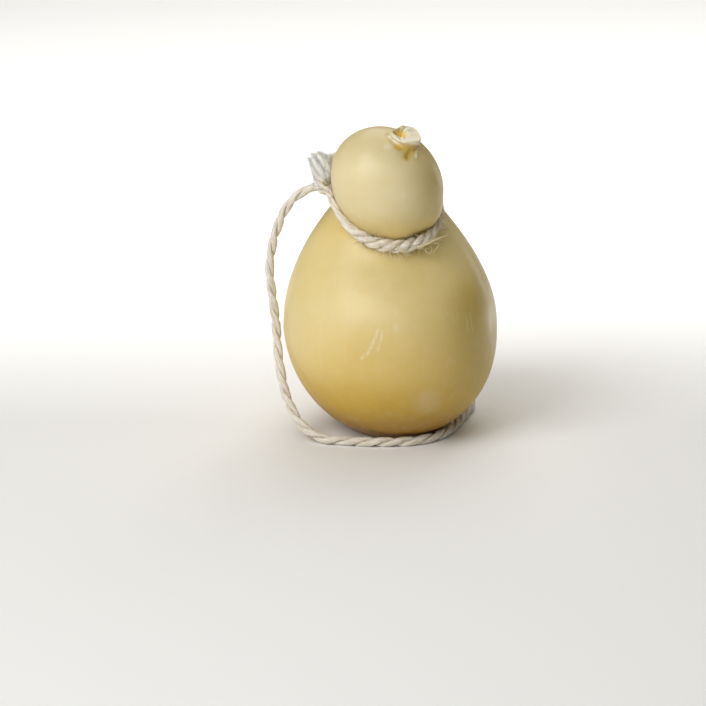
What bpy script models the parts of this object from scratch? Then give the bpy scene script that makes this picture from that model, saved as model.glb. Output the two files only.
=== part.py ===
"""Caciocavallo: a pear-shaped cheese of stretched curd that stands on a small flat foot,
tied round the neck with a twisted cord whose long hanging loop falls round the cheese.

Metres, +Z up. The origin is on the floor, under the middle of the belly.
+X is to the right of someone who faces the cheese, and +Y leads away from them.
"""
import math

import bmesh
import bpy
import numpy as np
from mathutils import Matrix, Vector
from mathutils.bvhtree import BVHTree
from mathutils.geometry import intersect_point_line

# ---- Driving dimensions --------------------------------------------------------------
AROUND = 48                      # sides of every ring of the cheese

FOOT_RADIUS = 0.0194             # the small flat the cheese stands on
FOOT_CENTRE = Vector((0.0030, -0.0015, 0.0))
BELLY_RADIUS = 0.0565
BELLY_CENTRE = Vector((-0.0003, 0.0, 0.0547))
BELLY_RINGS = 12
SHOULDER_RINGS = 20
SHOULDER_FULLNESS = 2.14         # higher keeps the belly's width further up
SHOULDER_SWEEP = 1.48            # higher draws the shoulder in more softly at the neck
SHOULDER_START = 1.17            # how far the middle line runs straight up from the belly
SHOULDER_END = 0.96              # how far it runs straight into the neck

NECK_RADIUS = 0.0248             # in the crease under the cord
NECK_FORWARD = math.radians(34)  # lean of the crease towards -Y
NECK_SIDE = math.radians(1)      # and towards +X
NECK_OFFSET = Vector((-0.0003, 0.0, -0.0009))   # of the crease, from where the lean puts it

HEAD_RADIUS = 0.0286
HEAD_CENTRE = Vector((-0.0024, -0.0170, 0.1379))
HEAD_STRETCH = 0.094             # the ball is longer along one slanting line
HEAD_STRETCH_ANGLE = math.radians(136)
HEAD_RINGS = 17

NUB_FORWARD = math.radians(20.5) # where the pinched tip sits on the head
NUB_SIDE = math.radians(20.7)
NUB_ROOT_RADIUS = 0.0078
NUB_WAIST_RADIUS = 0.0058
NUB_LIP_RADIUS = 0.0074
NUB_HEIGHT = 0.0315              # from the head's centre to the middle of the lip
NUB_OPEN_FORWARD = math.radians(28)
NUB_OPEN_SIDE = math.radians(14)
CRATER_RADIUS = 0.0020
CRATER_DEPTH = 0.0042
CRATER_SHIFT = 0.0034            # towards -X, which leaves a wide lip at +X
PLEAT_DEPTH = 0.0011             # the fold that runs down from under the lip
PLEAT_LENGTH = 0.0136
PLEAT_WIDTH = 0.0020

CORD_RADIUS = 0.0024
GAP = 0.0003                     # air left between neighbours

RING_FORWARD = math.radians(31)  # lean of the neck cord's own plane
RING_SIDE = math.radians(6)
RING_LIFT = -0.0020              # from the crease up to that plane, here just below it
RING_THIN = 0.0024               # it is tight beside its knot
RING_THICK = 0.0030              # and its strands open round the front
RING_START = math.radians(188.5) # round from +X, so 270 degrees is the front
RING_TURN = math.radians(341)
RING_FRONT_RISE = 0.0112         # its front end climbs to the knot over this much turn
RING_FRONT_TURN = math.radians(71)
RING_BACK_RISE = 0.0028
RING_BACK_TURN = math.radians(40)
RING_OPENING = math.radians(45)  # turn from the knot to where the strands are half open
RING_POINTS = 60

KNOT_CENTRE = Vector((-0.0346, -0.0115, 0.1340))
KNOT_HALF_SIZE = Vector((0.0038, 0.0056, 0.0044))
KNOT_RIDGES = 3

TAIL_FOOT = Vector((-0.0353, -0.0108, 0.1389))
TAIL_TOP = Vector((-0.0366, -0.0080, 0.1520))
TAIL_WAIST = 0.0034
TAIL_FLARE = 0.0047
TAIL_STRANDS = 5
TAIL_RINGS = 9

LOOP_POINTS = 54
LOOP_ROUTE = (
    # out of the knot, over in an arch and down against the left of the belly
    (-0.0398, -0.0107, 0.1341), (-0.0444, -0.0098, 0.1320), (-0.0504, -0.0080, 0.1274),
    (-0.0556, -0.0064, 0.1200), (-0.0598, -0.0052, 0.1098), (-0.0626, -0.0042, 0.0985),
    (-0.0636, -0.0040, 0.0865), (-0.0625, -0.0041, 0.0750), (-0.0608, -0.0046, 0.0620),
    (-0.0598, -0.0058, 0.0500), (-0.0585, -0.0100, 0.0365), (-0.0548, -0.0165, 0.0215),
    (-0.0475, -0.0235, 0.0092), (-0.0370, -0.0292, 0.0032),
    # along the floor, close round the front and the right of the foot
    (-0.0230, -0.0328, 0.0025), (-0.0055, -0.0347, 0.0025), (0.0115, -0.0325, 0.0025),
    (0.0235, -0.0252, 0.0025), (0.0310, -0.0142, 0.0025), (0.0355, -0.0005, 0.0025),
    (0.0400, 0.0145, 0.0025), (0.0434, 0.0290, 0.0026), (0.0425, 0.0430, 0.0032),
    (0.0368, 0.0550, 0.0062), (0.0287, 0.0622, 0.0128), (0.0215, 0.0648, 0.0225),
    # up the back of the cheese, over the neck cord and behind the head to its knot
    (0.0158, 0.0640, 0.0345), (0.0115, 0.0612, 0.0475), (0.0090, 0.0595, 0.0610),
    (0.0078, 0.0572, 0.0760), (0.0062, 0.0530, 0.0910), (0.0035, 0.0450, 0.1075),
    (0.0002, 0.0352, 0.1229), (-0.0030, 0.0273, 0.1352), (-0.0080, 0.0206, 0.1436),
    (-0.0155, 0.0132, 0.1480), (-0.0235, 0.0060, 0.1482), (-0.0294, -0.0015, 0.1477),
    (-0.0321, -0.0059, 0.1470),
)

UP = Vector((0.0, 0.0, 1.0))
RIGHT = Vector((1.0, 0.0, 0.0))


# ---- Helpers -------------------------------------------------------------------------
def leaning(forward, side):
    """The unit vector that leans from straight up towards -Y and towards +X."""
    return Vector((math.tan(side), -math.tan(forward), 1.0)).normalized()


def mix(a, b, amount):
    return a + (b - a) * amount


def hermite(start, end, start_way, end_way, t):
    """A point on the smooth curve between two points that leave and arrive by given ways."""
    return (start * (2 * t ** 3 - 3 * t ** 2 + 1) + start_way * (t ** 3 - 2 * t ** 2 + t)
            + end * (3 * t ** 2 - 2 * t ** 3) + end_way * (t ** 3 - t ** 2))


def facing(normal):
    """A turn that takes +Z to the normal and keeps +X as near to +X as it can be."""
    x = (RIGHT - normal * normal.x).normalized()
    y = normal.cross(x)
    return Matrix((x, y, normal)).transposed().to_4x4()


def add_ring(bm, centre, normal, radius, wave=0.0, lobes=3, turn=0.0, around=AROUND):
    """A circle of edges, with a gentle wave in its radius where one is given."""
    made = bmesh.ops.create_circle(
        bm, segments=around, radius=1.0,
        matrix=Matrix.Translation(centre) @ facing(normal) @ Matrix.Diagonal((radius, radius, 1, 1)))
    for index, vert in enumerate(made["verts"]):
        angle = math.tau * index / around
        vert.co = mix(centre, vert.co, 1.0 + wave * math.cos(lobes * angle + turn))
    return made["verts"]


def join_rings(bm, rings):
    """Skin the rings one after the other and close both ends."""
    for low, high in zip(rings, rings[1:]):
        count = len(low)
        for i in range(count):
            j = (i + 1) % count
            bm.faces.new((low[i], low[j], high[j], high[i]))
    bm.faces.new(list(reversed(rings[0])))
    bm.faces.new(rings[-1])


def finish_mesh(bm, name, material):
    bmesh.ops.recalc_face_normals(bm, faces=bm.faces)
    mesh = bpy.data.meshes.new(name)
    bm.to_mesh(mesh)
    bm.free()
    mesh.materials.append(material)
    mesh.shade_smooth()
    piece = bpy.data.objects.new(name, mesh)
    bpy.context.collection.objects.link(piece)
    return piece


def make_material(name, colour, roughness):
    material = bpy.data.materials.new(name)
    material.use_nodes = True
    shader = material.node_tree.nodes["Principled BSDF"]
    shader.inputs["Base Color"].default_value = (*colour, 1.0)
    shader.inputs["Roughness"].default_value = roughness
    shader.inputs["Metallic"].default_value = 0.0
    return material


def smooth_route(points, count):
    """Evenly spaced points on a Catmull-Rom curve through the route's own points."""
    route = np.array(points)
    ends = np.vstack((2 * route[0] - route[1], route, 2 * route[-1] - route[-2]))
    fine = []
    for a, b, c, d in zip(ends, ends[1:], ends[2:], ends[3:]):
        for t in np.linspace(0.0, 1.0, 24, endpoint=False):
            fine.append(0.5 * (2 * b + (c - a) * t + (2 * a - 5 * b + 4 * c - d) * t ** 2
                               + (3 * b - a - 3 * c + d) * t ** 3))
    fine = np.array(fine + [route[-1]])
    steps = np.linalg.norm(np.diff(fine, axis=0), axis=1)
    travelled = np.concatenate(([0.0], np.cumsum(steps)))
    stations = np.linspace(0.0, travelled[-1], count)
    return np.column_stack([np.interp(stations, travelled, fine[:, axis]) for axis in range(3)])


def make_tube(name, points, radius, material, sizes=None):
    """A cord as a curve with a round bevel and closed ends."""
    curve = bpy.data.curves.new(name, "CURVE")
    curve.dimensions = "3D"
    curve.bevel_depth = radius
    curve.bevel_resolution = 2
    curve.use_fill_caps = True
    spline = curve.splines.new("POLY")
    spline.points.add(len(points) - 1)
    for index, point in enumerate(points):
        spline.points[index].co = (*point, 1.0)
        spline.points[index].radius = 1.0 if sizes is None else sizes[index]
    spline.use_smooth = True
    curve.materials.append(material)
    piece = bpy.data.objects.new(name, curve)
    bpy.context.collection.objects.link(piece)
    return piece


# ---- Cheese --------------------------------------------------------------------------
NECK_WAY = leaning(NECK_FORWARD, NECK_SIDE)
HEAD_TO_NECK = math.sqrt(HEAD_RADIUS ** 2 - NECK_RADIUS ** 2)
NECK_CENTRE = HEAD_CENTRE - NECK_WAY * HEAD_TO_NECK + NECK_OFFSET
NUB_WAY = leaning(NUB_FORWARD, NUB_SIDE)
NUB_OPEN_WAY = leaning(NUB_OPEN_FORWARD, NUB_OPEN_SIDE)


def belly_rings(bm):
    """From the flat foot up to the widest ring, on a quarter of an ellipse."""
    height = BELLY_CENTRE.z / math.sqrt(1 - (FOOT_RADIUS / BELLY_RADIUS) ** 2)
    lowest = math.asin(BELLY_CENTRE.z / height)
    rings = []
    for index in range(BELLY_RINGS):
        angle = lowest * (1 - index / (BELLY_RINGS - 1))
        level = BELLY_CENTRE.z - height * math.sin(angle)
        centre = mix(FOOT_CENTRE, BELLY_CENTRE, level / BELLY_CENTRE.z)
        rings.append(add_ring(bm, centre, UP, BELLY_RADIUS * math.cos(angle)))
    return rings


def shoulder_rings(bm):
    """From the belly up to the crease of the neck, turning towards its lean."""
    span = (NECK_CENTRE - BELLY_CENTRE).length
    rings = []
    for index in range(1, SHOULDER_RINGS + 1):
        t = index / SHOULDER_RINGS
        centre = hermite(BELLY_CENTRE, NECK_CENTRE, UP * span * SHOULDER_START,
                         NECK_WAY * span * SHOULDER_END, t)
        normal = mix(UP, NECK_WAY, t ** 2).normalized()
        width = (1 - t ** SHOULDER_FULLNESS) ** SHOULDER_SWEEP
        rings.append(add_ring(bm, centre, normal, mix(NECK_RADIUS, BELLY_RADIUS, width)))
    return rings


def head_rings(bm):
    """The ball above the crease, its rings turning towards the pinched tip."""
    first = math.acos(-HEAD_TO_NECK / HEAD_RADIUS)
    last = math.asin(NUB_ROOT_RADIUS / HEAD_RADIUS)
    long_way = Vector((math.cos(HEAD_STRETCH_ANGLE), 0.0, math.sin(HEAD_STRETCH_ANGLE)))
    rings = []
    for index in range(1, HEAD_RINGS + 1):
        t = index / HEAD_RINGS
        angle = mix(first, last, t)
        normal = mix(NECK_WAY, NUB_WAY, t ** 0.8).normalized()
        centre = HEAD_CENTRE + normal * HEAD_RADIUS * math.cos(angle)
        ring = add_ring(bm, centre, normal, HEAD_RADIUS * math.sin(angle))
        stretch = HEAD_STRETCH * min(1.0, 3 * t)
        for vert in ring:
            arm = vert.co - HEAD_CENTRE
            along = long_way * arm.dot(long_way)
            vert.co += along * stretch - (arm - along) * stretch / 2
        rings.append(ring)
    return rings


def nub_rings(bm):
    """The pinched tip: a waist, a wavy lip that opens forward, and a small crater in it."""
    lip = HEAD_CENTRE + NUB_WAY * NUB_HEIGHT
    aside = Vector((-1.0, 0.0, 0.25))
    between = mix(NUB_WAY, NUB_OPEN_WAY, 0.5).normalized()
    shelf = mix(NUB_LIP_RADIUS, CRATER_RADIUS, 0.7)
    # each: depth under the lip, share of the way to the crater, facing, radius, wave
    sections = (
        (0.0046, 0.0, NUB_WAY, NUB_WAIST_RADIUS * 1.10, 0.03),
        (0.0032, 0.0, NUB_WAY, NUB_WAIST_RADIUS, 0.05),
        (0.0019, 0.0, between, mix(NUB_WAIST_RADIUS, NUB_LIP_RADIUS, 0.55), 0.06),
        (0.0008, 0.0, NUB_OPEN_WAY, NUB_LIP_RADIUS, 0.07),
        (-0.0003, 0.0, NUB_OPEN_WAY, NUB_LIP_RADIUS * 0.95, 0.07),
        (-0.0005, 0.1, NUB_OPEN_WAY, NUB_LIP_RADIUS * 0.78, 0.06),
        (0.0004, 0.5, NUB_OPEN_WAY, shelf * 1.12, 0.05),
        (0.0014, 0.9, NUB_OPEN_WAY, CRATER_RADIUS * 1.15, 0.0),
        (0.0026, 1.0, NUB_OPEN_WAY, CRATER_RADIUS, 0.0),
        (CRATER_DEPTH, 1.0, NUB_OPEN_WAY, CRATER_RADIUS * 0.6, 0.0),
    )
    rings = []
    for depth, share, normal, radius, wave in sections:
        centre = lip - normal * depth + aside * CRATER_SHIFT * share
        rings.append(add_ring(bm, centre, normal, radius, wave, turn=0.9))
    return rings


def press_pleat(ring_verts):
    """Press a short fold into the head, straight down from under the lip."""
    down = (NUB_OPEN_WAY.cross(RIGHT)).normalized()
    down = -down if down.z > 0 else down
    start = HEAD_CENTRE + NUB_WAY * HEAD_RADIUS
    end = start + down * PLEAT_LENGTH
    for vert in ring_verts:
        nearest, along = intersect_point_line(vert.co, start, end)
        along = min(1.0, max(0.0, along))
        spread = (vert.co - mix(start, end, along)).length / PLEAT_WIDTH
        inward = (HEAD_CENTRE - vert.co).normalized()
        vert.co += inward * PLEAT_DEPTH * math.exp(-spread ** 2 / 2) * (1 - 0.6 * along)


def make_cheese(material):
    bm = bmesh.new()
    rings = belly_rings(bm) + shoulder_rings(bm) + head_rings(bm)
    head_top = [vert for ring in rings[-6:] for vert in ring]
    press_pleat(head_top)
    rings += nub_rings(bm)
    join_rings(bm, rings)
    return finish_mesh(bm, "cheese", material)


# ---- Cord ----------------------------------------------------------------------------
def settle(tree, start, inward, clearance):
    """Move a point inward until it is the given distance from the cheese."""
    point = start.copy()
    for _ in range(60):
        spare = tree.find_nearest(point)[3] - clearance
        if spare < 0.00001:
            break
        point += inward * spare * 0.97
    return point


def make_neck_cord(cheese, material):
    """The turn round the neck, laid against the cheese all the way, open at the knot."""
    tree = BVHTree.FromPolygons([vert.co for vert in cheese.data.vertices],
                                [face.vertices[:] for face in cheese.data.polygons])
    normal = leaning(RING_FORWARD, RING_SIDE)
    across = (RIGHT - normal * normal.x).normalized()
    away = normal.cross(across)
    points, sizes = [], []
    for index in range(RING_POINTS):
        travelled = RING_TURN * index / (RING_POINTS - 1)
        angle = RING_START + travelled
        still = RING_TURN - travelled
        climb = (RING_FRONT_RISE * max(0.0, 1.0 - travelled / RING_FRONT_TURN) ** 1.6
                 + RING_BACK_RISE * max(0.0, 1.0 - still / RING_BACK_TURN) ** 1.6)
        open_up = min(1.0, max(0.0, min(travelled, still) / RING_OPENING - 0.5))
        radius = mix(RING_THIN, RING_THICK, open_up)
        outward = across * math.cos(angle) + away * math.sin(angle)
        start = NECK_CENTRE + normal * (RING_LIFT + climb) + outward * 2 * NECK_RADIUS
        points.append(settle(tree, start, -outward, radius + GAP))
        sizes.append(radius / RING_THIN)
    return make_tube("neck_cord", points, RING_THIN, material, sizes)


def make_knot(material):
    """A small tight knot with the ridges of its turns across it."""
    bm = bmesh.new()
    made = bmesh.ops.create_uvsphere(bm, u_segments=20, v_segments=12, radius=1.0)
    for vert in made["verts"]:
        turn = math.atan2(vert.co.y, vert.co.x)
        ridge = 1.0 + 0.08 * math.cos(KNOT_RIDGES * (turn + 2.2 * vert.co.z)) * (1 - vert.co.z ** 2)
        vert.co = KNOT_CENTRE + vert.co * KNOT_HALF_SIZE * ridge
    return finish_mesh(bm, "knot", material)


def make_tail(material):
    """The cord's two cut ends, side by side above the knot, fraying at the top."""
    way = (TAIL_TOP - TAIL_FOOT).normalized()
    bm = bmesh.new()
    rings = []
    for index in range(TAIL_RINGS):
        t = index / (TAIL_RINGS - 1)
        flare = max(0.0, t - 0.3) / 0.7
        radius = mix(TAIL_WAIST, TAIL_FLARE, flare ** 1.5)
        if index in (0, TAIL_RINGS - 1):
            radius *= 0.72
        rings.append(add_ring(bm, mix(TAIL_FOOT, TAIL_TOP, t), way, radius, 0.06 + 0.10 * flare,
                              TAIL_STRANDS, 1.5 * t, around=20))
    join_rings(bm, rings)
    return finish_mesh(bm, "knot_tail", material)


def main():
    for old in list(bpy.data.objects):
        bpy.data.objects.remove(old)
    rind = make_material("rind", (0.70, 0.53, 0.23), 0.42)
    twine = make_material("twine", (0.72, 0.66, 0.53), 0.85)
    cheese = make_cheese(rind)
    make_neck_cord(cheese, twine)
    make_knot(twine)
    make_tail(twine)
    make_tube("hanging_loop", smooth_route(LOOP_ROUTE, LOOP_POINTS), CORD_RADIUS, twine)


main()
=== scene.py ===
"""The caciocavallo dressed: waxy rind, twisted cord with its knot, cut ends and loose fibres."""
import math

import bpy
import numpy as np
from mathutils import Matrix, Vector, noise
from mathutils.bvhtree import BVHTree


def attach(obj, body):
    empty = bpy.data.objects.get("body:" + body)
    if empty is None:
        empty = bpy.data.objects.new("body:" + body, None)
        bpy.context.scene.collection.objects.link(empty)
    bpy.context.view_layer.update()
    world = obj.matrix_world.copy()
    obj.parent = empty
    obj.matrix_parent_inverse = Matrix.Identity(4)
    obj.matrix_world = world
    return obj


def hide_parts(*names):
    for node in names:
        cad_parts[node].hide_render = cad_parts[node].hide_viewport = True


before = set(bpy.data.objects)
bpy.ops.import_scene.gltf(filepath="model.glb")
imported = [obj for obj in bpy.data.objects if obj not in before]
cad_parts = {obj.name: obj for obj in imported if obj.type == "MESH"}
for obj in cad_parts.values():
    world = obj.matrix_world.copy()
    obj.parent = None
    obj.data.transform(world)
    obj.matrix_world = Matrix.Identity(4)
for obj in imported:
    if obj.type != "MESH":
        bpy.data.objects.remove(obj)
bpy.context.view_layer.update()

# ---- Sizes and places, in metres -----------------------------------------------------
CORD = 0.0048                       # the cord's diameter
STRAND_SIDES = 16                   # points round a strand
UNDER_TURN_WIDTH = 0.0043
RISING_WIDTHS = (0.0036, 0.0042)    # where the rising end starts and where it ends
BACK_END_WIDTH = 0.0041
BUNDLE_WIDTH = 0.0078
CUT_END_WIDTH = 0.0046
CUT_END_OPENING = 0.0010            # how much wider a cut end is at its loosened top
HAIR_CLEAR = 0.0005                 # how far a loose hair stays off the rind
FLOOR_CLEAR = 0.0002                # hairs that would come lower than this are left out
STRAY_FULLNESS = 1.4                # how much thicker the stray hairs are than listed

# the stretches of the neck turn's line that have extra loose fibres
FUZZY_STRETCH = slice(36, 150)
GOLDEN_STRETCH = slice(40, 130)
# where the wisps coloured dark as painted shade lie
SHADE_WISP_STRETCH = slice(36, 120)

CAMERA_PLACE = (-0.01995, -1.9013, 0.6219)
CAMERA_TILT = math.radians(73)
CAMERA_LENS = 191.7

NECK_CENTRE = Vector((-0.0029, -0.0090, 0.1252))
NECK_RADIUS = 0.0248
RING_FORWARD = math.radians(31)
RING_SIDE = math.radians(6)
RING_LIFT = -0.0020
RING_START = math.radians(188.5)
RING_TURN = math.radians(341)
RING_STEPS = 120                    # places worked out along the neck turn
RING_FRONT_RISE = 0.0112
RING_FRONT_TURN = math.radians(71)
RING_BACK_RISE = 0.0028
RING_BACK_TURN = math.radians(40)

# how wide the neck cord lies at each part of its turn, in degrees from the knot
NECK_WIDTHS = ((0, 0.0036), (25, 0.0038), (45, 0.0050), (60, 0.0058), (80, 0.0065), (105, 0.0068),
               (130, 0.0061), (150, 0.0046), (170, 0.0038), (190, 0.0040), (230, 0.0048),
               (300, 0.0048), (341, 0.0044))
NECK_LAYS = ((0, 0.0240), (50, 0.0220), (90, 0.0195), (140, 0.0190), (341, 0.0200))

# RUBS and the lists from UNDER_TURN to DULL_HAIRS were written out by a scratch script from picked places,
# with depths set by hand or found on the surface. The places of the small marks in rind_finish and round
# the tip were found in the same way, and some were moved since.
# the pale rubs on the belly: where each stroke starts and ends, and how wide it is
RUBS = (
    ((-0.0156, -0.0543, 0.0540), (-0.0128, -0.0550, 0.0569), 0.0010),
    ((-0.0128, -0.0550, 0.0569), (-0.0110, -0.0552, 0.0596), 0.0009),
    ((-0.0110, -0.0552, 0.0596), (-0.0097, -0.0551, 0.0631), 0.0010),
    ((-0.0097, -0.0551, 0.0631), (-0.0084, -0.0549, 0.0660), 0.0009),
    ((-0.0084, -0.0549, 0.0660), (-0.0071, -0.0543, 0.0696), 0.0006),
    ((-0.0074, -0.0559, 0.0593), (-0.0064, -0.0557, 0.0619), 0.0009),
    ((-0.0064, -0.0557, 0.0619), (-0.0056, -0.0554, 0.0650), 0.0008),
    ((-0.0056, -0.0554, 0.0650), (-0.0051, -0.0547, 0.0686), 0.0006),
)

LIP_CENTRE = Vector((0.0079, -0.0273, 0.1661))
PIT_PLACE = (-0.0032, 0.0010)          # the pit, to the right of and behind the lip's centre

LOOP_ROUTE = (
    (-0.0398, -0.0107, 0.1341), (-0.0444, -0.0098, 0.1320), (-0.0504, -0.0080, 0.1274),
    (-0.0556, -0.0064, 0.1200), (-0.0598, -0.0052, 0.1098), (-0.0626, -0.0042, 0.0985),
    (-0.0636, -0.0040, 0.0865), (-0.0625, -0.0041, 0.0750), (-0.0608, -0.0046, 0.0620),
    (-0.0598, -0.0058, 0.0500), (-0.0585, -0.0100, 0.0365), (-0.0548, -0.0165, 0.0215),
    (-0.0475, -0.0235, 0.0092), (-0.0370, -0.0292, 0.0032),
    (-0.0230, -0.0328, 0.0025), (-0.0055, -0.0347, 0.0025), (0.0115, -0.0325, 0.0025),
    (0.0235, -0.0252, 0.0025), (0.0310, -0.0142, 0.0025), (0.0355, -0.0005, 0.0025),
    (0.0400, 0.0145, 0.0025), (0.0434, 0.0290, 0.0026), (0.0425, 0.0430, 0.0032),
    (0.0368, 0.0550, 0.0062), (0.0287, 0.0622, 0.0128), (0.0215, 0.0648, 0.0225),
    (0.0158, 0.0640, 0.0345), (0.0115, 0.0612, 0.0475), (0.0090, 0.0595, 0.0610),
    (0.0078, 0.0572, 0.0760), (0.0062, 0.0530, 0.0910), (0.0035, 0.0450, 0.1075),
    (0.0002, 0.0352, 0.1229), (-0.0030, 0.0273, 0.1352), (-0.0080, 0.0206, 0.1436),
    (-0.0155, 0.0132, 0.1480), (-0.0235, 0.0060, 0.1482), (-0.0294, -0.0015, 0.1477),
    (-0.0321, -0.0059, 0.1470),
)

# the knot and the ends beside it
UNDER_TURN = (
    (-0.0444, -0.0098, 0.1320), (-0.0420, -0.0103, 0.1332), (-0.0398, -0.0108, 0.1342),
    (-0.0378, -0.0122, 0.1341), (-0.0360, -0.0140, 0.1333), (-0.0339, -0.0148, 0.1332),
    (-0.0320, -0.0136, 0.1340), (-0.0310, -0.0112, 0.1359), (-0.0317, -0.0084, 0.1376),
    (-0.0337, -0.0068, 0.1384), (-0.0361, -0.0066, 0.1377), (-0.0374, -0.0076, 0.1361),
)
RISING_END = (
    (-0.0310, -0.0208, 0.1309), (-0.0327, -0.0192, 0.1335), (-0.0343, -0.0176, 0.1357),
    (-0.0361, -0.0160, 0.1375), (-0.0373, -0.0140, 0.1396), (-0.0380, -0.0126, 0.1425),
)
BACK_END = (
    (-0.0270, 0.0028, 0.1481), (-0.0294, -0.0015, 0.1477), (-0.0321, -0.0059, 0.1470),
    (-0.0336, -0.0090, 0.1484), (-0.0337, -0.0118, 0.1465), (-0.0335, -0.0132, 0.1437),
    (-0.0334, -0.0142, 0.1415), (-0.0335, -0.0142, 0.1396),
)
# the cut ends, from the left to the right and the last behind
CUT_ENDS = (
    (
        (-0.0378, -0.0120, 0.1354), (-0.0384, -0.0120, 0.1402), (-0.0393, -0.0118, 0.1444),
        (-0.0404, -0.0114, 0.1480), (-0.0413, -0.0110, 0.1503),
    ),
    (
        (-0.0368, -0.0126, 0.1360), (-0.0371, -0.0132, 0.1415), (-0.0380, -0.0132, 0.1463),
        (-0.0388, -0.0126, 0.1504), (-0.0393, -0.0122, 0.1527),
    ),
    (
        (-0.0351, -0.0126, 0.1366), (-0.0354, -0.0138, 0.1417), (-0.0358, -0.0138, 0.1465),
        (-0.0362, -0.0130, 0.1505), (-0.0364, -0.0128, 0.1520),
    ),
    (
        (-0.0329, -0.0124, 0.1381), (-0.0332, -0.0132, 0.1426), (-0.0335, -0.0130, 0.1468),
        (-0.0338, -0.0124, 0.1504), (-0.0340, -0.0122, 0.1514),
    ),
    (
        (-0.0314, -0.0104, 0.1392), (-0.0313, -0.0106, 0.1435), (-0.0314, -0.0104, 0.1478),
        (-0.0317, -0.0100, 0.1506),
    ),
    (
        (-0.0360, -0.0082, 0.1365), (-0.0366, -0.0080, 0.1429), (-0.0373, -0.0078, 0.1482),
        (-0.0377, -0.0076, 0.1510),
    ),
)
BUNDLE = (
    (-0.0354, -0.0100, 0.1375), (-0.0353, -0.0102, 0.1408), (-0.0352, -0.0104, 0.1446),
    (-0.0352, -0.0102, 0.1483), (-0.0353, -0.0100, 0.1506),
)

# single loose hairs, and how thick each is before STRAY_FULLNESS
STRAY_HAIRS = (
    (((0.0135, -0.0352, 0.1086), (0.0166, -0.0336, 0.1090), (0.0197, -0.0318, 0.1099),
      (0.0229, -0.0290, 0.1107), (0.0261, -0.0252, 0.1110), (0.0290, -0.0215, 0.1111)), 0.00110),
    (((0.0125, -0.0356, 0.1085), (0.0150, -0.0352, 0.1074), (0.0182, -0.0334, 0.1071),
      (0.0197, -0.0322, 0.1076)), 0.00038),
    (((-0.0056, -0.0375, 0.1077), (-0.0040, -0.0378, 0.1054), (-0.0045, -0.0368, 0.1041),
      (-0.0058, -0.0352, 0.1031)), 0.00035),
    (((-0.0014, -0.0375, 0.1064), (-0.0002, -0.0380, 0.1044), (-0.0009, -0.0368, 0.1030),
      (0.0001, -0.0352, 0.1015)), 0.00035),
    (((0.0027, -0.0374, 0.1058), (0.0037, -0.0372, 0.1042), (0.0040, -0.0358, 0.1019)), 0.00032),
    (((-0.0081, -0.0336, 0.1109), (-0.0045, -0.0336, 0.1120), (-0.0009, -0.0332, 0.1120),
      (0.0012, -0.0330, 0.1114)), 0.00032),
    (((0.0171, -0.0340, 0.1065), (0.0192, -0.0330, 0.1041), (0.0208, -0.0320, 0.1065),
      (0.0197, -0.0320, 0.1081)), 0.00032),
    (((0.0218, -0.0320, 0.1094), (0.0244, -0.0295, 0.1085), (0.0229, -0.0305, 0.1061),
      (0.0213, -0.0310, 0.1046)), 0.00029),
    (((0.0068, -0.0370, 0.1060), (0.0089, -0.0366, 0.1043), (0.0115, -0.0356, 0.1048)), 0.00029),
    (((-0.0205, -0.0315, 0.1117), (-0.0220, -0.0320, 0.1105),
      (-0.0215, -0.0320, 0.1091)), 0.00026),
)
# a dark hair curled round the knot's eye: painted shadow
KNOT_EYE_SHADOW = (
    (-0.0354, -0.0186, 0.1384), (-0.0348, -0.0194, 0.1377), (-0.0338, -0.0197, 0.1372),
    (-0.0327, -0.0193, 0.1378), (-0.0320, -0.0184, 0.1391), (-0.0321, -0.0174, 0.1403),
    (-0.0328, -0.0166, 0.1408),
)
# the single dull hairs at the right, and how thick each is
DULL_HAIRS = (
    (((0.0277, -0.0080, 0.1220), (0.0290, -0.0080, 0.1233), (0.0305, -0.0080, 0.1237),
      (0.0323, -0.0080, 0.1232)), 0.00029),
    (((0.0271, -0.0090, 0.1271), (0.0284, -0.0090, 0.1279), (0.0294, -0.0090, 0.1276)), 0.00026),
    (((0.0283, -0.0160, 0.1144), (0.0304, -0.0150, 0.1126), (0.0318, -0.0140, 0.1101),
      (0.0321, -0.0130, 0.1082)), 0.00029),
    (((0.0283, -0.0150, 0.1163), (0.0302, -0.0140, 0.1155), (0.0315, -0.0140, 0.1134),
      (0.0310, -0.0140, 0.1112)), 0.00026),
)

RIGHT = Vector((1.0, 0.0, 0.0))


# ---- Shader maths --------------------------------------------------------------------
class Value:
    """An output in a finish. Arithmetic on it adds Math nodes."""

    def __init__(self, finish, socket):
        self.finish = finish
        self.socket = socket

    def maths(self, operation, *inputs):
        return self.finish.node("ShaderNodeMath", {"operation": operation}, inputs)

    def __add__(self, other):
        return self.maths("ADD", self, other)

    __radd__ = __add__

    def __sub__(self, other):
        return self.maths("SUBTRACT", self, other)

    def __rsub__(self, other):
        return self.maths("SUBTRACT", other, self)

    def __mul__(self, other):
        return self.maths("MULTIPLY", self, other)

    __rmul__ = __mul__


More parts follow.
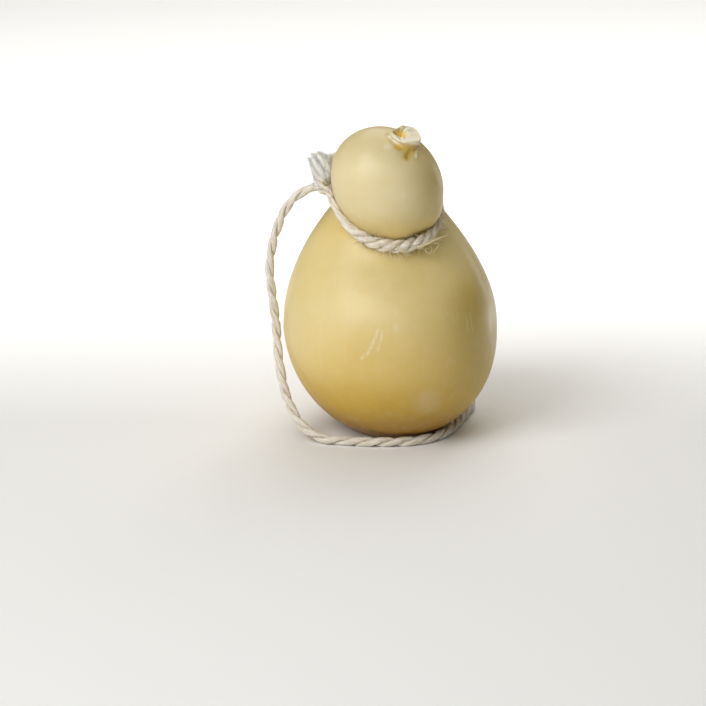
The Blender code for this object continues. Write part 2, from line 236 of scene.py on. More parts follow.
class Finish:
    """A material and the nodes of its surface."""

    def __init__(self, name, **constants):
        self.material = bpy.data.materials.new(name)
        self.material.use_nodes = True
        self.tree = self.material.node_tree
        self.surface = self.tree.nodes["Principled BSDF"]
        for socket, value in constants.items():
            self.surface.inputs[socket.replace("_", " ")].default_value = value
        places = self.tree.nodes.new("ShaderNodeTexCoord")
        self.place = Value(self, places.outputs["Object"])

    def feed(self, socket, value):
        """Links a value into a socket, or sets it there."""
        if isinstance(value, Value):
            self.tree.links.new(value.socket, socket)
        else:
            socket.default_value = value

    def node(self, kind, settings, inputs, output=0):
        """Adds a node: its settings first, then its sockets by place or by name."""
        node = self.tree.nodes.new(kind)
        for name, value in settings.items():
            setattr(node, name, value)
        pairs = inputs.items() if isinstance(inputs, dict) else enumerate(inputs)
        for key, value in pairs:
            self.feed(node.inputs[key], value)
        return Value(self, node.outputs[output])

    def noise(self, scale, detail=2.0, roughness=0.5, place=None, distortion=0.0):
        return self.node("ShaderNodeTexNoise", {}, {
            "Vector": place or self.place, "Scale": scale, "Detail": detail,
            "Roughness": roughness, "Distortion": distortion})

    def stretched(self, scale, place=None):
        return self.node("ShaderNodeMapping", {}, {
            "Vector": place or self.place, "Scale": scale})

    def axis(self, index, place=None):
        return self.node("ShaderNodeSeparateXYZ", {}, [place or self.place], index)

    def ease(self, value, low, high):
        """0 at low, 1 at high and smooth between them; low may be the larger."""
        return self.node("ShaderNodeMapRange", {"interpolation_type": "SMOOTHSTEP"}, {
            "Value": value, "From Min": low, "From Max": high})

    def near(self, centre, inner, outer, place=None):
        """1 within the inner distance of a point, 0 beyond the outer one."""
        away = self.node("ShaderNodeVectorMath", {"operation": "DISTANCE"},
                         [place or self.place, tuple(centre)], "Value")
        return self.ease(away, outer, inner)

    def near_line(self, start, end, inner, outer):
        """1 within the inner distance of a straight stroke, 0 beyond the outer one."""
        start, end = Vector(start), Vector(end)
        way = end - start
        arm = self.node("ShaderNodeVectorMath", {"operation": "SUBTRACT"},
                        [self.place, tuple(start)])
        dot = self.node("ShaderNodeVectorMath", {"operation": "DOT_PRODUCT"},
                        [arm, tuple(way / way.length_squared)], "Value")
        along = self.node("ShaderNodeClamp", {}, [dot])
        reached = self.node("ShaderNodeVectorMath", {"operation": "SCALE"},
                            {"Vector": tuple(way), "Scale": along})
        away = self.node("ShaderNodeVectorMath", {"operation": "DISTANCE"},
                         [arm, reached], "Value")
        return self.ease(away, outer, inner)

    def blend(self, amount, first, second, kind="MIX"):
        """Mixes two colours."""
        return self.node("ShaderNodeMix", {"data_type": "RGBA", "blend_type": kind}, {
            0: amount, 6: first, 7: second}, 2)

    def bump(self, height, distance, strength=1.0, under=None):
        inputs = {"Height": height, "Distance": distance, "Strength": strength}
        if under:
            inputs["Normal"] = under
        return self.node("ShaderNodeBump", {}, inputs)

    def finish(self, **surface):
        for socket, value in surface.items():
            self.feed(self.surface.inputs[socket.replace("_", " ")], value)
        return self.material


def colour(red, green, blue):
    return (red, green, blue, 1.0)


# ---- Finishes ------------------------------------------------------------------------
def rind_finish():
    """Waxy straw-coloured rind: creamier head, golden foot that is partly painted shade, painted light and
    shade on the sides, head and tip, faint rubs and drag lines.
    """
    wax = Finish("waxy_rind", Subsurface_Weight=0.16, Subsurface_Scale=0.006,
                 Subsurface_Radius=(1.0, 0.62, 0.22), Specular_IOR_Level=0.5, Coat_Roughness=0.26)
    height = wax.axis(2)
    cloudy = wax.noise(24.0, 3.0, 0.55)
    mottle = wax.noise(150.0, 4.0, 0.6)
    body = wax.blend(wax.ease(cloudy, 0.35, 0.68), colour(0.725, 0.570, 0.222), colour(0.765, 0.612, 0.272))
    # darker and more golden towards the foot: partly the rind's own deeper colour, partly painted shade
    # near the floor
    body = wax.blend(wax.ease(height, 0.078, 0.046), body, colour(0.715, 0.515, 0.150))
    body = wax.blend(wax.ease(height, 0.050, 0.024), body, colour(0.590, 0.378, 0.044))
    body = wax.blend(wax.ease(height, 0.028, 0.006), body, colour(0.380, 0.195, 0.014))
    # painted shade: the right side, away from the main lights, is darkened towards golden
    shaded_side = wax.ease(wax.axis(0), 0.020, 0.047) * wax.ease(height, 0.102, 0.076)
    body = wax.blend(shaded_side * 0.8, body, colour(0.520, 0.365, 0.060))
    # painted light: the left side, facing the main lights, is lightened towards cream
    lit_side = wax.ease(wax.axis(0), -0.018, -0.046) * wax.ease(height, 0.030, 0.060)
    body = wax.blend(lit_side * 0.5, body, colour(0.820, 0.675, 0.320))
    head = wax.blend(wax.ease(cloudy, 0.35, 0.7), colour(0.750, 0.620, 0.325), colour(0.790, 0.672, 0.395))
    # painted shade: the head's top is darkened
    head = wax.blend(wax.ease(height, 0.148, 0.166) * 0.8, head, colour(0.640, 0.525, 0.260))
    head = wax.blend(wax.ease(height, 0.134, 0.110) * 0.9, head, colour(0.700, 0.530, 0.165))
    # painted shade: the head's right side, away from the main lights, is darkened towards golden
    head = wax.blend(wax.ease(wax.axis(0), 0.004, 0.028) * 0.85, head, colour(0.615, 0.462, 0.130))
    tone = wax.blend(wax.ease(height, 0.104, 0.118), body, head)
    tone = wax.blend(wax.ease(mottle, 0.45, 0.75) * 0.08, tone, colour(0.86, 0.76, 0.52))
    streaks = wax.noise(230.0, 2.0, 0.5, wax.stretched((1.0, 1.0, 0.07)))
    tone = wax.blend(wax.ease(streaks, 0.56, 0.74) * 0.07, tone, colour(0.84, 0.76, 0.54))

    # the pinched tip: golden pit lightened as painted light, pale lip with a wing on the left, painted
    # shade under it with a painted shadow in its fold, a painted highlight spot and a painted highlight on
    # the raised crease
    lip = wax.near(LIP_CENTRE, 0.0070, 0.0092)
    tone = wax.blend(lip * 0.7, tone, colour(0.83, 0.78, 0.64))
    wing = wax.near_line((-0.0014, -0.0268, 0.1655), (0.0020, -0.0290, 0.1645), 0.0006, 0.0024)
    tone = wax.blend(wing * 0.7, tone, colour(0.86, 0.80, 0.67))
    # a painted highlight: a soft pale spot to the left of the tip's foot
    highlight_spot = wax.near((-0.0022, -0.0335, 0.1612), 0.0008, 0.0034)
    tone = wax.blend(highlight_spot * 0.4, tone, colour(0.84, 0.76, 0.60))
    # painted shade: golden shadow under the lip, narrowing down the stalk
    under = wax.near_line((0.0030, -0.0318, 0.1602), (0.0116, -0.0300, 0.1596), 0.0010, 0.0034)
    under = under.maths("MAXIMUM", under, wax.near_line(
        (0.0086, -0.0317, 0.1586), (0.0072, -0.0348, 0.1558), 0.0008, 0.0032))
    tone = wax.blend(under * 0.9, tone, colour(0.60, 0.41, 0.06))
    # painted shadow: darker in the fold under the lip
    fold_shadow = wax.near_line((0.0106, -0.0312, 0.1590), (0.0080, -0.0342, 0.1560), 0.0002, 0.0020)
    tone = wax.blend(fold_shadow * 0.7, tone, colour(0.42, 0.26, 0.02))
    # painted highlight: a pale streak along the raised crease
    crease = wax.near_line((0.0126, -0.0267, 0.1587), (0.0125, -0.0318, 0.1552), 0.0001, 0.0009)
    tone = wax.blend(crease * 0.6, tone, colour(0.84, 0.77, 0.60))
    # painted light: the pit is a light golden, partly its own colour and partly lightened for light shining
    # through the thin wax
    pit = wax.near_line((0.0046, -0.0266, 0.1666), (0.0038, -0.0252, 0.1640), 0.0020, 0.0043)
    tone = wax.blend(pit * 0.9, tone, colour(0.84, 0.60, 0.12))

    # pale rubs: a double slanting one, a small blotch, a fine scratch and a dull patch
    rubs = wax.near_line(*RUBS[0][:2], 0.0001, RUBS[0][2] * 1.5)
    for start, end, wide in RUBS[1:]:
        rubs = rubs.maths("MAXIMUM", rubs, wax.near_line(start, end, 0.0001, wide * 1.5))
    rubs = rubs * (wax.ease(wax.noise(620.0, 2.0), 0.38, 0.62) * 0.7 + 0.3)
    scratch = wax.near_line((0.0403, -0.0349, 0.0729), (0.0414, -0.0357, 0.0683), 0.0001, 0.0005)
    scratch = scratch.maths("MAXIMUM", scratch, wax.near_line(
        (0.0414, -0.0357, 0.0683), (0.0422, -0.0364, 0.0626), 0.0001, 0.0006))
    smear = wax.near_line((0.0385, -0.0372, 0.0725), (0.0395, -0.0389, 0.0649), 0.0003, 0.0016)
    blotch = wax.near_line((0.0021, -0.0537, 0.0721), (0.0021, -0.0545, 0.0700), 0.0002, 0.0019)
    patch = wax.near((0.0183, -0.0480, 0.0290), 0.0020, 0.0120)
    tone = wax.blend(rubs * 0.62, tone, colour(0.86, 0.76, 0.55))
    tone = wax.blend(scratch * 0.28 + smear * 0.12, tone, colour(0.84, 0.78, 0.60))
    tone = wax.blend(blotch * 0.35, tone, colour(0.84, 0.72, 0.48))
    nicks = wax.near_line((-0.0171, -0.0360, 0.1250), (-0.0165, -0.0364, 0.1232), 0.0001, 0.0008)
    nicks = nicks.maths("MAXIMUM", nicks, wax.near_line(
        (-0.0207, -0.0347, 0.1278), (-0.0203, -0.0351, 0.1263), 0.0001, 0.0008))
    nicks = nicks.maths("MAXIMUM", nicks, wax.near((0.0061, -0.0430, 0.1381), 0.0004, 0.0028) * 0.5)
    tone = wax.blend(nicks * 0.45, tone, colour(0.86, 0.79, 0.60))
    tone = wax.blend(patch * 0.30, tone, colour(0.78, 0.66, 0.42))

    drags = wax.noise(60.0, 3.0, 0.6, wax.stretched((1.0, 1.0, 0.10)))
    fine = wax.noise(420.0, 3.0, 0.6)
    relief = wax.bump(drags, 0.0012, 0.16)
    relief = wax.bump(mottle, 0.0006, 0.12, relief)
    relief = wax.bump(fine + rubs * -0.8, 0.0003, 0.25, relief)
    return wax.finish(
        Base_Color=tone,
        Roughness=wax.ease(cloudy, 0.2, 0.8) * 0.10 + 0.44 + rubs * 0.2 + patch * 0.10,
        Coat_Weight=0.05 + wax.ease(height, 0.020, 0.056) * 0.17 - patch * 0.12,
        Normal=relief)


def twine_finish(name, light, dark):
    """Dull natural fibre, with lines along the strands' own hairs."""
    twine = Finish(name, Roughness=0.9, Specular_IOR_Level=0.25, Sheen_Weight=0.1)
    fibre = twine.node("ShaderNodeAttribute", {"attribute_name": "fibre"}, {}, "Vector")
    hairs = twine.noise(1.0, 3.0, 0.6, twine.stretched((3.2, 3.2, 260.0), fibre))
    patches = twine.noise(220.0, 2.0)
    slubs = twine.noise(900.0, 3.0, 0.6)
    tone = twine.blend(twine.ease(hairs, 0.34, 0.60), dark, light)
    bands = twine.noise(1.0, 2.0, 0.5, twine.stretched((1.5, 1.5, 150.0), fibre))
    tone = twine.blend(twine.ease(bands, 0.50, 0.68) * 0.55, tone, dark)
    tone = twine.blend(twine.ease(patches, 0.5, 0.8) * 0.3, tone, dark)
    relief = twine.bump(hairs, 0.0004, 0.6)
    relief = twine.bump(bands, 0.0005, 0.5, relief)
    relief = twine.bump(slubs, 0.0003, 0.5, relief)
    return twine.finish(Base_Color=tone, Normal=relief)


def fibre_finish(name, pale, deep=0.72):
    """The thin loose hairs."""
    hair = Finish(name, Roughness=0.75, Specular_IOR_Level=0.3)
    patches = hair.noise(300.0, 2.0)
    tone = hair.blend(patches, colour(*(deep * part for part in pale[:3])), pale)
    return hair.finish(Base_Color=tone)


def floor_finish():
    plain = Finish("plain_floor", Roughness=0.9, Specular_IOR_Level=0.2)
    return plain.finish(Base_Color=colour(0.91, 0.90, 0.885))


# ---- Making --------------------------------------------------------------------------
def leaning(forward, side):
    """The unit vector that leans from straight up towards -Y and towards +X."""
    return Vector((math.tan(side), -math.tan(forward), 1.0)).normalized()


def smooth_route(points, step):
    """Points about one step apart on a Catmull-Rom curve through the route's own points."""
    route = np.array(points, float)
    ends = np.vstack((2 * route[0] - route[1], route, 2 * route[-1] - route[-2]))
    fine = []
    for a, b, c, d in zip(ends, ends[1:], ends[2:], ends[3:]):
        for t in np.linspace(0.0, 1.0, 24, endpoint=False):
            fine.append(0.5 * (2 * b + (c - a) * t + (2 * a - 5 * b + 4 * c - d) * t ** 2
                               + (3 * b - a - 3 * c + d) * t ** 3))
    fine = np.array(fine + [route[-1]])
    travelled = np.concatenate(([0.0], np.cumsum(np.linalg.norm(np.diff(fine, axis=0), axis=1))))
    stations = np.linspace(0.0, travelled[-1], max(4, int(round(travelled[-1] / step)) + 1))
    return np.column_stack([np.interp(stations, travelled, fine[:, axis]) for axis in range(3)])


def steady_frames(line):
    """For each point of a line its way on and two sides that turn no more than they must."""
    ways = np.gradient(line, axis=0)
    ways /= np.linalg.norm(ways, axis=1, keepdims=True)
    side = np.cross(ways[0], (0.3, 0.5, 0.8))
    firsts = []
    for way in ways:
        side = side - way * side.dot(way)
        side = side / np.linalg.norm(side)
        firsts.append(side)
    firsts = np.array(firsts)
    return ways, firsts, np.cross(ways, firsts)


def wander(count, step, size, rng):
    """A smooth random course around 0 whose waves are about size long."""
    knots = max(4, int(count * step / size) + 3)
    values = rng.normal(0.0, 1.0, knots)
    return np.interp(np.linspace(0, knots - 1, count), np.arange(knots), values)


def new_piece(name, vertices, faces, fibre, material):
    """A smooth mesh object. Its fibre attribute runs with the hairs of the strands."""
    mesh = bpy.data.meshes.new(name)
    mesh.from_pydata(vertices.tolist(), [], faces)
    layer = mesh.attributes.new("fibre", "FLOAT_VECTOR", "POINT")
    layer.data.foreach_set("vector", fibre.ravel())
    mesh.materials.append(material)
    mesh.shade_smooth()
    piece = bpy.data.objects.new(name, mesh)
    bpy.context.collection.objects.link(piece)
    return piece


class Tubes:
    """Gathers tubes into one mesh."""

    def __init__(self):
        self.vertices = []
        self.faces = []
        self.fibre = []
        self.count = 0

    def add(self, rings, angles, travelled):
        """Skins rings of points, closes both ends and keeps where the hairs run."""
        stations, around = rings.shape[:2]
        base = self.count
        self.vertices.append(rings.reshape(-1, 3))
        along = np.broadcast_to(np.asarray(travelled)[:, None], (stations, around))
        turned = np.broadcast_to(angles, (stations, around))
        self.fibre.append(np.stack((np.cos(turned), np.sin(turned), along), axis=2).reshape(-1, 3))
        for i in range(stations - 1):
            low = base + i * around
            for j in range(around):
                k = (j + 1) % around
                self.faces.append((low + j, low + k, low + around + k, low + around + j))
        self.faces.append(tuple(range(base + around - 1, base - 1, -1)))
        last = base + (stations - 1) * around
        self.faces.append(tuple(range(last, last + around)))
        self.count += stations * around

    def piece(self, name, material):
        return new_piece(name, np.vstack(self.vertices), self.faces, np.vstack(self.fibre), material)


def add_strands(tubes, line, width, rng, lay, plies=2, turn=0.0, open_up=0.0, ends=(0.0, 0.0)):
    """Lays soft strands left-handed round a line.

    Width, lay and opening may change along it. Ends says how much each end thins out.
    """
    count = len(line)
    steps = np.linalg.norm(np.diff(line, axis=0), axis=1)
    travelled = np.concatenate(([0.0], np.cumsum(steps)))
    step = travelled[-1] / (count - 1)
    ways, sides, others = steady_frames(line)
    width = np.broadcast_to(width, count)
    opening = np.broadcast_to(open_up, count)
    twist = math.tau * np.cumsum(np.full(count, step) / np.broadcast_to(lay, count))
    first = np.clip(1 - travelled / (1.5 * width[0]), 0, 1)
    last = np.clip(1 - (travelled[-1] - travelled) / (1.5 * width[-1]), 0, 1)
    thin = (1 - ends[0] * first ** 2) * (1 - ends[1] * last ** 2)
    angles = np.linspace(0, math.tau, STRAND_SIDES, endpoint=False)[None, :]
    for ply in range(plies):
        swell = (1 + 0.05 * wander(count, step, 0.007, rng)) * thin
        phase = turn + math.tau * ply / plies - twist + 0.10 * wander(count, step, 0.012, rng)
        outward = sides * np.cos(phase)[:, None] + others * np.sin(phase)[:, None]
        across = np.cross(ways, outward)
        centre = line + outward * (width * 0.25 * (1 + opening))[:, None]
        tall = (width * 0.262 * swell)[:, None]
        wide = (width * (0.375 if plies == 2 else 0.31) * swell)[:, None]
        turned = angles + phase[:, None]
        grooves = 1 + 0.035 * np.cos(4 * turned + 2 * wander(count, step, 0.009, rng)[:, None]) \
            + 0.02 * np.cos(7 * turned + ply)
        ring = (outward[:, None, :] * (np.cos(angles) * tall * grooves)[:, :, None]
                + across[:, None, :] * (np.sin(angles) * wide * grooves)[:, :, None])
        tubes.add(centre[:, None, :] + ring, turned, travelled + ply * 0.7)


def add_fibre(tubes, line, thickness):
    """One thin hair along a line, three-sided and pointed."""
    ways, sides, others = steady_frames(line)
    sizes = thickness * 0.5 * np.linspace(1.0, 0.35, len(line))
    angles = np.array((0.0, math.tau / 3, 2 * math.tau / 3))[None, :]
    rings = (line[:, None, :] + (sides[:, None, :] * np.cos(angles)[:, :, None]
             + others[:, None, :] * np.sin(angles)[:, :, None]) * sizes[:, None, None])
    tubes.add(rings, angles, np.linspace(0, 0.01, len(line)))


def laid_on(skin, point, clear):
    """The point itself, or if it is nearer the skin than this, the place just above the skin."""
    nearest, facing = skin.find_nearest(point)[:2]
    return nearest + facing * clear if (point - nearest).dot(facing) < clear else point


def add_fuzz(tubes, line, width, count, length, thickness, rng, lift=0.6, skin=None):
    """Short hairs that leave the cord along its twist and curl away from it."""
    ways, sides, others = steady_frames(line)
    width = np.broadcast_to(width, len(line))
    for _ in range(count):
        i = rng.integers(2, len(line) - 2)
        angle = rng.uniform(0, math.tau)
        outward = sides[i] * math.cos(angle) + others[i] * math.sin(angle)
        across = np.cross(ways[i], outward)
        way = ways[i] * rng.choice((-1, 1)) + across * rng.uniform(-0.9, 0.9)
        way /= np.linalg.norm(way)
        reach = length * rng.uniform(0.4, 1.4)
        rise = reach * lift * rng.uniform(0.1, 1.0)
        bend = across * rng.uniform(-0.5, 0.5) * reach
        start = line[i] + outward * width[i] * 0.42
        t = np.linspace(0, 1, 5)[:, None]
        hair = start + way * reach * t + outward * rise * t ** 1.6 + bend * t ** 2
        if hair[:, 2].min() < FLOOR_CLEAR:
            continue
        if skin is not None:
            hair = np.array([laid_on(skin, Vector(point), HAIR_CLEAR) for point in hair])
        add_fibre(tubes, hair, thickness * rng.uniform(0.6, 1.3))


def add_fray(tubes, end, way, radius, count, length, thickness, rng, spread=0.6):
    """The loosened hairs of a cut end."""
    way = Vector(way).normalized()
    side = way.orthogonal().normalized()
    other = way.cross(side)
    for _ in range(count):
        angle = rng.uniform(0, math.tau)
        out = np.array(side * math.cos(angle) + other * math.sin(angle))
        reach = length * rng.uniform(0.45, 1.2)
        start = np.array(end) + out * radius * math.sqrt(rng.uniform(0, 1)) - np.array(way) * 0.002
        lean = spread * rng.uniform(0.0, 1.0)
        curl = np.cross(out, np.array(way)) * rng.uniform(-0.5, 0.5)
        t = np.linspace(0, 1, 5)[:, None]
        hair = start + np.array(way) * (0.002 + reach) * t + (out * lean + curl) * reach * t ** 1.8
        add_fibre(tubes, hair, thickness * rng.uniform(0.6, 1.3))


# ---- Cheese --------------------------------------------------------------------------
def make_skin(material):
    """The cheese's smooth skin, from the same rings as its solid."""
    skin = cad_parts["cheese"].copy()
    skin.data = skin.data.copy()
    skin.parent = None
    for key in list(skin.keys()):
        del skin[key]
    skin.name = "cheese_skin"
    bpy.context.collection.objects.link(skin)
    bpy.ops.object.select_all(action="DESELECT")
    skin.select_set(True)
    bpy.context.view_layer.objects.active = skin
    bpy.ops.object.mode_set(mode="EDIT")
    bpy.ops.mesh.select_all(action="SELECT")
    bpy.ops.mesh.remove_doubles(threshold=0.00001)
    bpy.ops.mesh.tris_convert_to_quads(face_threshold=math.radians(60), shape_threshold=math.radians(60))
    bpy.ops.object.mode_set(mode="OBJECT")
    smooth = skin.modifiers.new("smooth", "SUBSURF")
    smooth.levels = 2
    smooth.render_levels = 2
    bpy.ops.object.modifier_apply(modifier="smooth")
    skin.data.materials.clear()
    skin.data.materials.append(material)
    skin.data.shade_smooth()
    return skin


def points_of(skin):
    """A mesh's points and the ways they face, as arrays."""
    points = np.empty(len(skin.data.vertices) * 3)
    skin.data.vertices.foreach_get("co", points)
    facing = np.empty(len(skin.data.vertices) * 3)
    skin.data.vertices.foreach_get("normal", facing)
    return points.reshape(-1, 3), facing.reshape(-1, 3)


def put_points(skin, points):
    skin.data.vertices.foreach_set("co", points.ravel())
    skin.data.update()


def swell(skin, centre, reach, height, way=None):
    """Raises, or with a minus height sinks, the skin round a place."""
    points, facing = points_of(skin)
    away = np.linalg.norm(points - np.array(centre), axis=1) / reach
    amount = np.clip(1 - away ** 2, 0, 1) ** 2 * height
    points += amount[:, None] * (facing if way is None else np.array(Vector(way).normalized()))
    put_points(skin, points)


def furrow(skin, start, end, reach, depth):
    """Presses a straight furrow, or with a minus depth raises a ridge."""
    points, facing = points_of(skin)
    start, way = np.array(start), np.array(end) - np.array(start)
    along = np.clip((points - start) @ way / (way @ way), 0, 1)
    away = np.linalg.norm(points - start - along[:, None] * way, axis=1) / reach
    amount = np.clip(1 - away ** 2, 0, 1) ** 2 * depth
    points -= amount[:, None] * facing
    put_points(skin, points)


def uneven(skin):
    """The slight unevenness of a form pulled and pressed by hand."""
    points, facing = points_of(skin)
    lift = np.array([0.00022 * noise.noise(Vector(point) * 38.0)
                     + 0.00006 * noise.noise(Vector(point) * 140.0) for point in points])
    lift *= np.clip((points[:, 2] - 0.003) / 0.006, 0, 1)
    put_points(skin, points + lift[:, None] * facing)


def shape_tip(skin):
    """Opens the pinched tip: a deep pit on the left, a broad thin lip on the right."""
    way = np.array(leaning(math.radians(28), math.radians(14)))
    points, facing = points_of(skin)
    right = np.array(RIGHT) - way * way[0]
    right /= np.linalg.norm(right)
    behind = np.cross(way, right)
    arm = points - np.array(LIP_CENTRE)
    across, back, height = arm @ right, arm @ behind, arm @ way
    from_middle = np.hypot(across, back)
    pit_x, pit_y = across - PIT_PLACE[0], back - PIT_PLACE[1]
    from_pit = np.hypot(pit_x, pit_y * 1.1)
    inward = (facing @ right) * pit_x + (facing @ behind) * pit_y < 0
    inside = (height > -0.0065) & (from_middle < 0.0068) & (inward | (facing @ way > 0.75))
    depth = 0.0030 * (1 - np.clip((from_pit - 0.0008) / 0.0031, 0, 1) ** 1.6) ** 1.2
    pleats = 0.00016 * np.sin(np.arctan2(pit_y, pit_x) * 9 + 1.0)
    wanted = -depth - 0.0005 + pleats
    share = np.clip((0.0068 - from_middle) / 0.0012, 0, 1) * inside
    points += ((wanted - height) * share)[:, None] * way
    put_points(skin, points)
    points, facing = points_of(skin)
    arm = points - np.array(LIP_CENTRE)
    close = np.clip(1 - (np.linalg.norm(arm, axis=1) / 0.0125) ** 2, 0, 1)
    wobble = np.array([noise.noise(Vector(point) * 210.0) if near > 0 else 0.0
                       for point, near in zip(points, close)])
    put_points(skin, points + (wobble * close * 0.0006)[:, None] * facing)


def skin_tree(skin):
    return BVHTree.FromPolygons([vert.co for vert in skin.data.vertices],
                                [face.vertices[:] for face in skin.data.polygons])


def neck_line(tree):
    """The neck cord's own line, laid against the skin, and its width along it."""
    normal = leaning(RING_FORWARD, RING_SIDE)
    across = (RIGHT - normal * normal.x).normalized()
    away = normal.cross(across)
    points, widths = [], []
    for index in range(RING_STEPS):
        travelled = RING_TURN * index / (RING_STEPS - 1)
        angle = RING_START + travelled
        still = RING_TURN - travelled
        climb = (RING_FRONT_RISE * max(0.0, 1.0 - travelled / RING_FRONT_TURN) ** 1.6
                 + RING_BACK_RISE * max(0.0, 1.0 - still / RING_BACK_TURN) ** 1.6)
        width = np.interp(math.degrees(travelled), *zip(*NECK_WIDTHS))
        outward = across * math.cos(angle) + away * math.sin(angle)
        point = NECK_CENTRE + normal * (RING_LIFT + climb) + outward * 2 * NECK_RADIUS
        for _ in range(60):
            spare = tree.find_nearest(point)[3] - width * 0.46
            if spare < 0.00001:
                break
            point -= outward * spare * 0.97
        points.append(point)
        widths.append(width)
    return np.array(points), np.array(widths)


# ---- Putting it together -------------------------------------------------------------
def make_camera():
    bpy.ops.object.camera_add(location=CAMERA_PLACE, rotation=(CAMERA_TILT, 0, 0))
    camera = bpy.context.object
    camera.data.lens = CAMERA_LENS
    camera.data.sensor_width = 36.0
    bpy.context.scene.camera = camera


def add_light(name, place, aim, size, power, tint=(1.0, 1.0, 1.0), spread=180):
    light = bpy.data.lights.new(name, "AREA")
    light.shape = "RECTANGLE"
    light.size, light.size_y = size
    light.energy = power
    light.color = tint
    light.spread = math.radians(spread)
    lamp = bpy.data.objects.new(name, light)
    lamp.location = place
    lamp.rotation_euler = (Vector(aim) - Vector(place)).to_track_quat("-Z", "Y").to_euler()
    bpy.context.collection.objects.link(lamp)


def make_studio():
    bpy.ops.mesh.primitive_plane_add(size=12.0, location=(0, 0, 0))
    floor = bpy.context.object
    floor.name = "floor"
    floor.data.materials.append(floor_finish())
    world = bpy.data.worlds.new("pale_room")
    world.use_nodes = True
    world.node_tree.nodes["Background"].inputs["Color"].default_value = (1.0, 0.99, 0.97, 1.0)
    world.node_tree.nodes["Background"].inputs["Strength"].default_value = 0.03
    bpy.context.scene.world = world
    bpy.context.scene.view_settings.view_transform = "Standard"
    add_light("window_low", (-1.4, -1.2, 0.45), (0, 0, 0.08), (1.0, 1.0), 4.6)
    add_light("window", (-1.1, -1.1, 1.35), (0, 0, 0.08), (1.1, 1.1), 19.4, (0.99, 1.0, 1.03))
    add_light("front_left", (-0.6, -1.5, 1.35), (0, 0, 0.08), (1.0, 1.0), 5.0)
    add_light("front", (0.0, -1.6, 1.5), (0, 0, 0.08), (1.0, 1.0), 4.6, (1.0, 0.96, 0.84))
    add_light("overhead", (0.0, 0.0, 1.9), (0, 0, 0.0), (1.2, 1.2), 5.0, (1.0, 0.97, 0.86))
    add_light("back", (0.2, 1.2, 1.5), (0, 0, 0.05), (1.5, 1.5), 14.5, (1.0, 0.985, 0.95))
    add_light("backdrop", (0.1, 0.30, 0.62), (0.1, 1.1, 0.24), (1.8, 0.6), 9.0)
    add_light("edge", (0.80, 0.86, 0.12), (0, 0, 0.07), (0.10, 0.4), 0.8)
    add_light("low_card", (0.216, 0.158, 0.022), (0.051, -0.0216, 0.062), (0.036, 0.045), 0.0008, spread=30)


make_camera()
make_studio()
rng = np.random.default_rng(11)

twine = twine_finish("natural_twine", colour(0.84, 0.805, 0.74), colour(0.68, 0.59, 0.455))
# painted light: the neck turn's twine is a lighter copy of the hanging cord's, its dark lines warmed golden
# as painted bounce from the rind
lit_neck_twine = twine_finish("lit_neck_twine", colour(0.90, 0.865, 0.80), colour(0.72, 0.60, 0.43))
grey_twine = twine_finish("grey_twine", colour(0.91, 0.90, 0.86), colour(0.80, 0.77, 0.70))
hair = fibre_finish("loose_hair", colour(0.82, 0.77, 0.64))
pale_hair = fibre_finish("pale_hair", colour(0.94, 0.935, 0.90), 0.9)
golden_hair = fibre_finish("golden_hair", colour(0.95, 0.84, 0.56), 0.85)
# dark golden-brown hairs: painted shade
shade_brown_hair = fibre_finish("shade_brown_hair", colour(0.52, 0.38, 0.15), 0.6)
rind = rind_finish()

# the free loop: down from the knot, under the foot and up behind to the knot again
loop_line = smooth_route(LOOP_ROUTE, 0.0008)
tubes = Tubes()
add_strands(tubes, loop_line, CORD, rng, lay=0.0225, turn=0.4)
loop = tubes.piece("hanging_cord", twine)
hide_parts("hanging_loop")

skin = make_skin(rind)
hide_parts("cheese")
tree = skin_tree(skin)
# the head bulges over the cord at the right and in front
swell(skin, (0.0215, -0.0190, 0.1185), 0.0160, 0.0038, (0.62, -0.35, -0.70))
swell(skin, (0.0060, -0.0300, 0.1135), 0.0150, 0.0020, (0.10, -0.55, -0.83))
shape_tip(skin)
# round the tip: the lip, the wing and the low folds, then a furrow and a raised crease under them
swell(skin, (0.0050, -0.0222, 0.1680), 0.0022, 0.0010, (0.0, 0.2, 1.0))
swell(skin, (0.0004, -0.0268, 0.1652), 0.0050, 0.0021, (-1.0, 0.1, 0.05))
swell(skin, (0.0098, -0.0334, 0.1632), 0.0060, 0.0014, (0.0, 0.25, 1.0))
swell(skin, (-0.0020, -0.0290, 0.1638), 0.0035, 0.0005)
furrow(skin, (0.0098, -0.0310, 0.1592), (0.0078, -0.0345, 0.1560), 0.0018, 0.0005)
furrow(skin, (0.0126, -0.0267, 0.1587), (0.0125, -0.0318, 0.1552), 0.0012, -0.0006)
uneven(skin)

# the turn round the neck
ring_points, ring_widths = neck_line(tree)
ring_line = smooth_route(ring_points[::3], 0.0007)
ring_width = np.interp(np.linspace(0, 1, len(ring_line)), np.linspace(0, 1, RING_STEPS), ring_widths)
tubes = Tubes()
ring_turned = np.linspace(0, math.degrees(RING_TURN), len(ring_line))
add_strands(tubes, ring_line, ring_width, rng, lay=np.interp(ring_turned, *zip(*NECK_LAYS)),
            plies=3, turn=1.1, open_up=np.interp(ring_turned, (40, 90, 150), (0.0, 0.14, 0.0)))
ring = tubes.piece("neck_turn", lit_neck_twine)
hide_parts("neck_cord")

# the knot: the cord's turn under it, and the neck turn's end rising through it
under_turn = smooth_route(UNDER_TURN, 0.0005)
rising_end = smooth_route(RISING_END, 0.0005)
tubes = Tubes()
add_strands(tubes, under_turn, UNDER_TURN_WIDTH, rng, lay=0.0130, turn=0.9)
add_strands(tubes, rising_end, np.linspace(*RISING_WIDTHS, len(rising_end)), rng, lay=0.0125, turn=0.2)
knot = tubes.piece("knot_turns", twine)
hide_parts("knot")

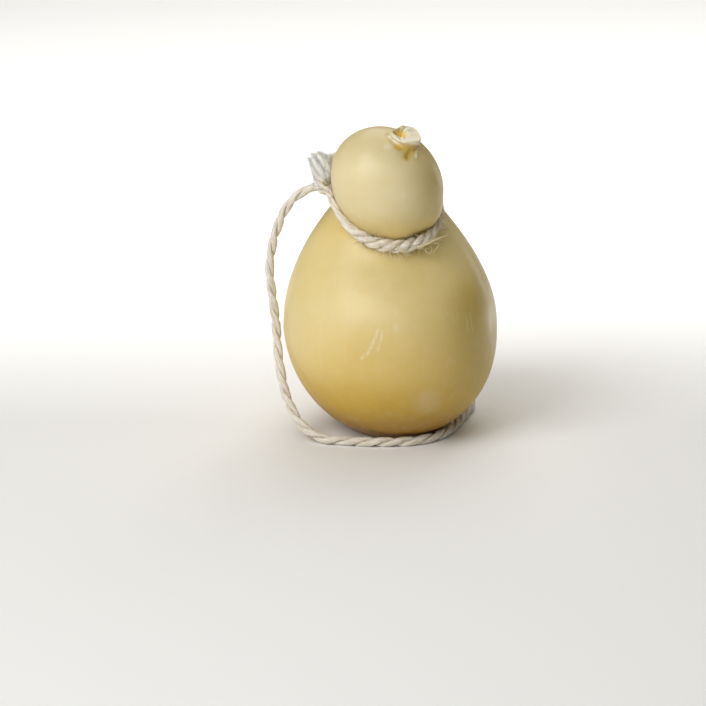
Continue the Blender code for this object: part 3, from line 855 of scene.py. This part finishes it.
# the bundle, the six cut ends and the loop's own end, which comes back from behind the head
tubes = Tubes()
back_end = smooth_route(BACK_END, 0.0005)
add_strands(tubes, back_end, BACK_END_WIDTH, rng, lay=0.0130, turn=0.5, ends=(0.0, 0.5))
bundle = smooth_route(BUNDLE, 0.0005)
add_strands(tubes, bundle, BUNDLE_WIDTH, rng, lay=0.060, plies=3, turn=0.6, ends=(0.3, 0.3))
cut_ends = [smooth_route(route, 0.0005) for route in CUT_ENDS]
for order, line in enumerate(cut_ends):
    loosened = np.linspace(0.0, 1.0, len(line)) ** 2
    add_strands(tubes, line, CUT_END_WIDTH + CUT_END_OPENING * loosened, rng,
                lay=0.018 + 0.02 * loosened, plies=3, turn=order * 0.9,
                open_up=0.5 * loosened, ends=(0.0, 0.6))
tail = tubes.piece("cut_ends", grey_twine)
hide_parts("knot_tail")

# loose hairs
tubes = Tubes()
add_fuzz(tubes, loop_line, CORD, 480, 0.0022, 0.00012, rng, 0.5, tree)
add_fuzz(tubes, ring_line, ring_width, 420, 0.0026, 0.00015, rng, 0.6, tree)
add_fuzz(tubes, ring_line[FUZZY_STRETCH], ring_width[FUZZY_STRETCH], 420, 0.0026, 0.00020, rng, 1.2, tree)
for line in (under_turn, rising_end, back_end):
    add_fuzz(tubes, line, 0.0042, 130, 0.0024, 0.00015, rng, 0.4, tree)
fuzz = tubes.piece("fuzz", hair)

tubes = Tubes()
for line in cut_ends:
    add_fuzz(tubes, line, 0.0052, 420, 0.0030, 0.00022, rng, 0.30, tree)
    add_fray(tubes, line[-5], line[-1] - line[-8], 0.0024, 100, 0.0025, 0.00024, rng, 0.45)
fray = tubes.piece("frayed_tips", pale_hair)

tubes = Tubes()
for route, thickness in STRAY_HAIRS:
    add_fibre(tubes, smooth_route(route, 0.0007), thickness * STRAY_FULLNESS)
add_fuzz(tubes, ring_line[GOLDEN_STRETCH], ring_width[GOLDEN_STRETCH], 170, 0.0042, 0.00048, rng, 0.9, tree)
strays = tubes.piece("stray_hairs", golden_hair)

# loose wisps under the neck turn coloured dark golden-brown as painted shade, and a dark curl along the
# painted shadow round the knot's eye
tubes = Tubes()
add_fuzz(tubes, ring_line[SHADE_WISP_STRETCH], ring_width[SHADE_WISP_STRETCH], 110, 0.0034, 0.00042, rng, 0.9, tree)
add_fibre(tubes, smooth_route(KNOT_EYE_SHADOW, 0.0003), 0.0011)
straw = tubes.piece("shade_brown_wisps", shade_brown_hair)

tubes = Tubes()
for route, thickness in DULL_HAIRS:
    add_fibre(tubes, smooth_route(route, 0.0007), thickness)
dull_strays = tubes.piece("dull_stray_hairs", hair)

for piece in (loop, ring, knot, tail, fuzz, fray, strays, straw, dull_strays):
    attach(piece, "root")
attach(skin, "root")
